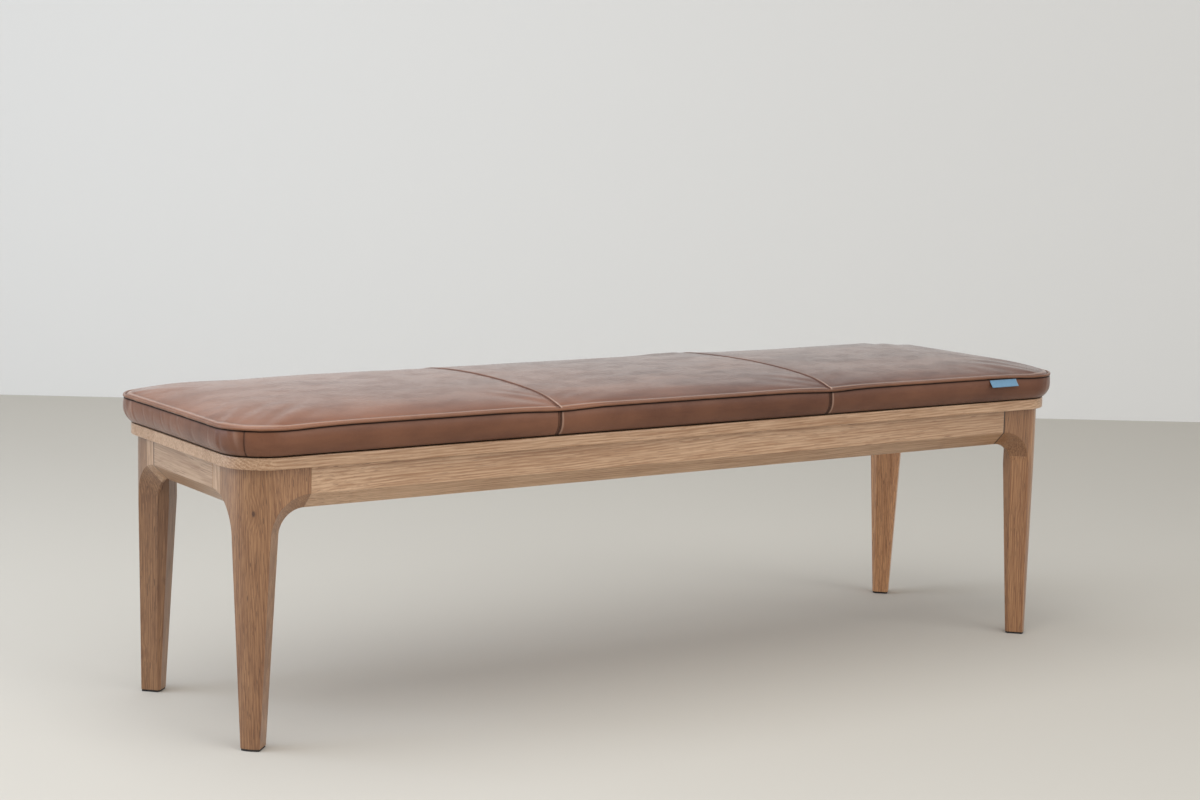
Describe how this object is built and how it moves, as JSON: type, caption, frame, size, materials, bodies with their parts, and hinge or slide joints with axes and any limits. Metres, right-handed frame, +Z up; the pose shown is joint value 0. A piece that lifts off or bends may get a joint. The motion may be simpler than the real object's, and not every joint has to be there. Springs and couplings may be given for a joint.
{
  "type": "dining bench",
  "caption": "Oak dining bench with tapered, coved legs, bevelled rails and a loose seat pad in sewn brown leather with piping.",
  "frame": {"origin": "on the floor under the middle of the seat", "axes": "+X along the bench towards its right end, +Y from the front to the back, +Z up"},
  "size_m": [1.625, 0.4894, 0.5039],
  "materials": {
    "oak_board": "oak in a light brown wax, satin",
    "oak_rail": "oak in a light brown wax, satin",
    "oak_leg": "oak in a light brown wax, satin",
    "secondary_wood": "plain planed softwood",
    "dowel_wood": "fluted beech, unfinished",
    "zinc_steel": "bright zinc plate",
    "glide_plastic": "dark moulded nylon",
    "strip_fabric": "woven hook and loop tape",
    "leather_top": "saddle brown leather with a soft sheen",
    "leather_band": "saddle brown leather with a soft sheen",
    "lining_fabric": "close woven lining",
    "zip_fabric": "woven zip tape with coil teeth",
    "zip_metal": "aged brass",
    "foam": "cut polyurethane foam",
    "tab_fabric": "plain woven tab"
  },
  "bodies": {
    "bench_frame": {"back_left_bracket": "zinc_steel", "back_left_end_ear": "oak_leg", "back_left_glide": "glide_plastic", "back_left_leg": "oak_leg", "back_left_side_ear": "oak_leg", "back_rail": "oak_rail", "back_right_bracket": "zinc_steel", "back_right_end_ear": "oak_leg", "back_right_glide": "glide_plastic", "back_right_leg": "oak_leg", "back_right_side_ear": "oak_leg", "board_clips": "zinc_steel", "bracket_screws": "zinc_steel", "clip_screws": "zinc_steel", "cross_rail_dowels": "dowel_wood", "cross_rail_screws": "zinc_steel", "front_left_bracket": "zinc_steel", "front_left_end_ear": "oak_leg", "front_left_glide": "glide_plastic", "front_left_leg": "oak_leg", "front_left_side_ear": "oak_leg", "front_rail": "oak_rail", "front_right_bracket": "zinc_steel", "front_right_end_ear": "oak_leg", "front_right_glide": "glide_plastic", "front_right_leg": "oak_leg", "front_right_side_ear": "oak_leg", "glide_nails": "zinc_steel", "hanger_bolts": "zinc_steel", "hook_strips": "strip_fabric", "left_cross_rail": "secondary_wood", "left_end_rail": "oak_rail", "nuts": "zinc_steel", "rail_dowels": "dowel_wood", "right_cross_rail": "secondary_wood", "right_end_rail": "oak_rail", "seat_board": "oak_board", "washers": "zinc_steel"},
    "seat_pad": {"pad_foam": "foam", "left_top_panel": "leather_top", "centre_top_panel": "leather_top", "right_top_panel": "leather_top", "left_front_band": "leather_band", "centre_front_band": "leather_band", "right_front_band": "leather_band", "left_end_band": "leather_band", "right_end_band": "leather_band", "back_band": "leather_band", "bottom_panel": "lining_fabric", "piping": "leather_band", "zip_tape": "zip_fabric", "zip_slider": "zip_metal", "sewn_tab": "tab_fabric", "loop_strips": "strip_fabric"}
  },
  "joints": [
    {"name": "pad_lift", "type": "slide", "parent": "bench_frame", "child": "seat_pad", "axis": [0, 0, 1], "range_m": [0, 0.15]}
  ]
}
